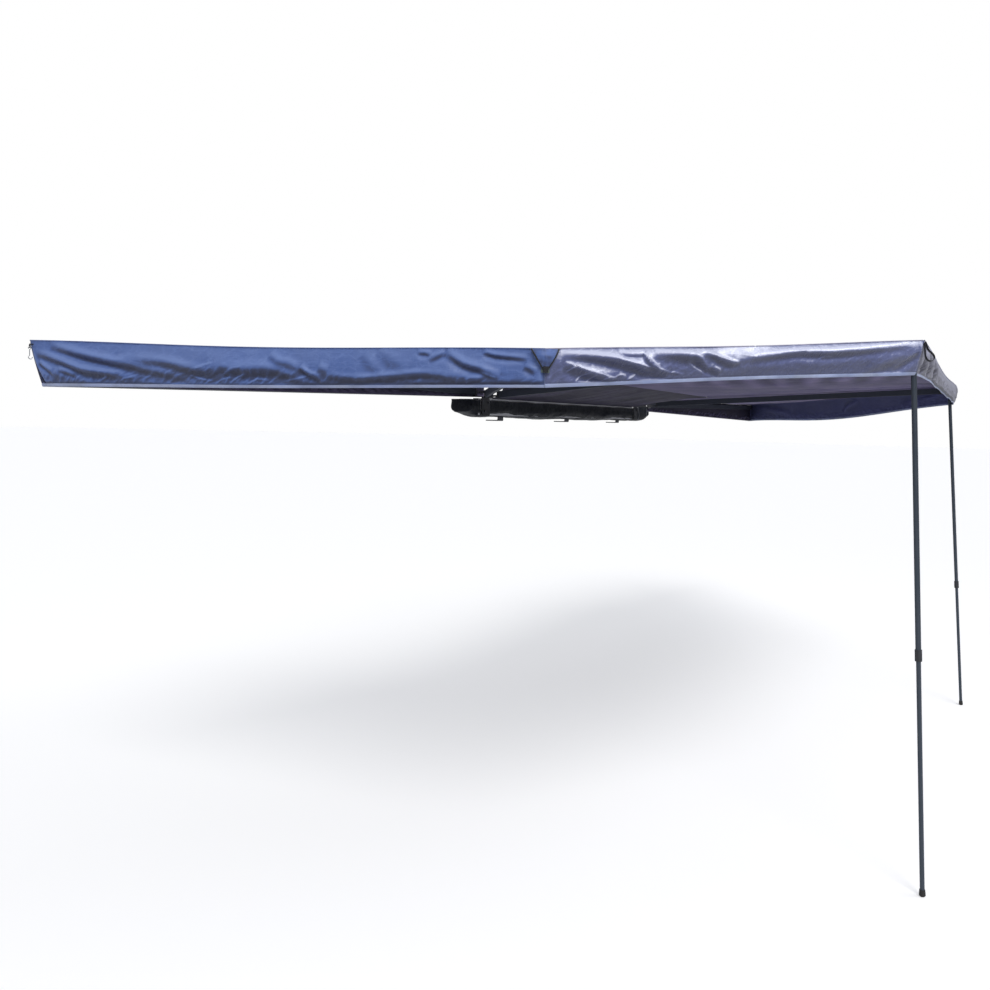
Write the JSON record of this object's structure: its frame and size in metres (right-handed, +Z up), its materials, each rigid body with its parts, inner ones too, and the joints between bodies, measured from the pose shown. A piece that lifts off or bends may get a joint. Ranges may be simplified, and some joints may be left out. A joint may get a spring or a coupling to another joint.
{
  "type": "vehicle side awning",
  "caption": "Side awning that opens round a vehicle's corner: cloth roof and valances on hinged arms, telescopic poles, rail and bag on rack brackets.",
  "frame": {"origin": "centre of the middle rack bracket's foot, on its underside", "axes": "+X along the rail towards the vehicle's rear, +Y towards the vehicle, +Z up"},
  "size_m": [6.722, 3.2488, 2.2212],
  "materials": {
    "rail_aluminium": "mill-finish extrusion",
    "arm_aluminium": "dark slate powder coat",
    "pole_aluminium": "dark slate anodised",
    "black_steel": "black powder coat",
    "zinc_steel": "bright zinc plate",
    "black_plastic": "moulded, fine grain",
    "grey_plastic": "grey-green moulded buckle",
    "black_rubber": "dull",
    "bag_pvc": "black coated heavy cloth",
    "awning_cloth": "slate-blue coated polyester, satin crinkles",
    "inner_cloth": "dark lining cloth",
    "webbing": "black woven webbing"
  },
  "bodies": {
    "base": {"base_rail": "rail_aluminium", "rail_cap_front": "black_plastic", "rail_cap_rear": "black_plastic", "rack_bracket_front": "black_steel", "rack_bracket_middle": "black_steel", "rack_bracket_rear": "black_steel", "bracket_bolt_front": "zinc_steel", "bracket_bolt_middle": "zinc_steel", "bracket_bolt_rear": "zinc_steel", "bag_floor": "bag_pvc", "bag_outer_wall": "bag_pvc", "bag_inner_wall": "bag_pvc", "bag_end_front": "bag_pvc", "bag_end_rear": "bag_pvc", "hub_bracket_front": "black_steel", "hub_bracket_rear": "black_steel", "hub_pin_front": "zinc_steel", "hub_pin_rear": "zinc_steel", "hub_spacer_rear": "black_plastic", "canopy_side": "awning_cloth", "canopy_inner": "inner_cloth", "valance_side": "awning_cloth"},
    "arm_side_front": {"arm_root_side_front": "black_steel", "arm_tube_side_front": "arm_aluminium", "arm_tip_side_front": "black_plastic", "pole_pin_front": "zinc_steel", "corner_loop": "webbing", "canopy_front_side": "awning_cloth", "valance_front_side": "awning_cloth"},
    "arm_front_corner": {"arm_root_front_corner": "black_steel", "arm_tube_front_corner": "arm_aluminium", "arm_tip_front_corner": "black_plastic", "corner_flap": "awning_cloth", "flap_buckle": "grey_plastic", "canopy_front": "awning_cloth", "valance_front": "awning_cloth"},
    "arm_front": {"arm_root_front": "black_steel", "arm_tube_front": "arm_aluminium", "arm_tip_front": "black_plastic", "valance_front_end": "awning_cloth"},
    "tip_hook": {"tip_hook": "zinc_steel"},
    "arm_side_rear": {"arm_root_side_rear": "black_steel", "arm_tube_side_rear": "arm_aluminium", "arm_tip_side_rear": "black_plastic", "pole_pin_rear": "zinc_steel", "canopy_rear": "awning_cloth", "valance_rear": "awning_cloth"},
    "arm_rear": {"arm_root_rear": "black_steel", "arm_tube_rear": "arm_aluminium", "arm_tip_rear": "black_plastic", "valance_rear_end": "awning_cloth"},
    "pole_front": {"pole_upper_front": "pole_aluminium"},
    "pole_front_lower": {"pole_lower_front": "pole_aluminium", "pole_foot_front": "black_rubber"},
    "pole_front_collar": {"pole_collar_front": "black_plastic"},
    "pole_rear": {"pole_upper_rear": "pole_aluminium"},
    "pole_rear_lower": {"pole_lower_rear": "pole_aluminium", "pole_foot_rear": "black_rubber"},
    "pole_rear_collar": {"pole_collar_rear": "black_plastic"}
  },
  "joints": [
    {"name": "front_fold", "type": "hinge", "parent": "base", "child": "arm_side_front", "pos_m": [-1.18, -0.1083, 0.156], "axis": [0, 0, 1], "range_deg": [0, 101.8], "deforming": ["canopy_side", "canopy_inner", "valance_side"]},
    {"name": "front_corner_follow", "type": "hinge", "parent": "arm_side_front", "child": "arm_front_corner", "pos_m": [-1.18, -0.1083, 0.156], "axis": [0, 0, 1], "range_deg": [0, 43.51], "deforming": ["canopy_front_side", "valance_front_side", "corner_flap"]},
    {"name": "front_edge_follow", "type": "hinge", "parent": "arm_front_corner", "child": "arm_front", "pos_m": [-1.18, -0.1083, 0.156], "axis": [0, 0, 1], "range_deg": [0, 54.81], "deforming": ["canopy_front", "valance_front", "valance_front_end"]},
    {"name": "rear_fold", "type": "hinge", "parent": "base", "child": "arm_side_rear", "pos_m": [1.21, -0.1933, 0.145], "axis": [0, 0, -1], "range_deg": [0, 90.5]},
    {"name": "rear_edge_follow", "type": "hinge", "parent": "arm_side_rear", "child": "arm_rear", "pos_m": [1.21, -0.1933, 0.145], "axis": [0, 0, -1], "range_deg": [0, 81.11], "deforming": ["canopy_rear", "valance_rear", "valance_rear_end"]},
    {"name": "pole_front_fold", "type": "hinge", "parent": "arm_side_front", "child": "pole_front", "pos_m": [-1.63311, -2.27722, 0.27959], "axis": [0.9789, -0.2045, 0], "range_deg": [0, 89.36]},
    {"name": "pole_rear_fold", "type": "hinge", "parent": "arm_side_rear", "child": "pole_rear", "pos_m": [1.22836, -2.29759, 0.21742], "axis": [1, 0.0087, 0], "range_deg": [0, 92.07]},
    {"name": "pole_front_slide", "type": "slide", "parent": "pole_front", "child": "pole_front_lower", "axis": [0.0146, 0.07, 0.9974], "range_m": [0, 0.85]},
    {"name": "pole_rear_slide", "type": "slide", "parent": "pole_rear", "child": "pole_rear_lower", "axis": [-0.0008, 0.0889, 0.996], "range_m": [0, 0.71]},
    {"name": "pole_front_clamp", "type": "hinge", "parent": "pole_front", "child": "pole_front_collar", "pos_m": [-1.65037, -2.35981, -0.8975], "axis": [0.0146, 0.07, 0.9974], "range_deg": [0, 90]},
    {"name": "pole_rear_clamp", "type": "hinge", "parent": "pole_rear", "child": "pole_rear_collar", "pos_m": [1.22935, -2.41055, -1.04827], "axis": [-0.0008, 0.0889, 0.996], "range_deg": [0, 90]},
    {"name": "hook_swing", "type": "hinge", "parent": "arm_front", "child": "tip_hook", "pos_m": [-3.33969, 0.74167, 0.25276], "axis": [-0.3437, -0.9391, 0], "range_deg": [-60, 40]}
  ],
  "couplings": [
    {"joint": "front_corner_follow", "follows": "front_fold", "ratio": 0.42731},
    {"joint": "front_edge_follow", "follows": "front_fold", "ratio": 0.53831},
    {"joint": "rear_edge_follow", "follows": "rear_fold", "ratio": 0.89613}
  ]
}
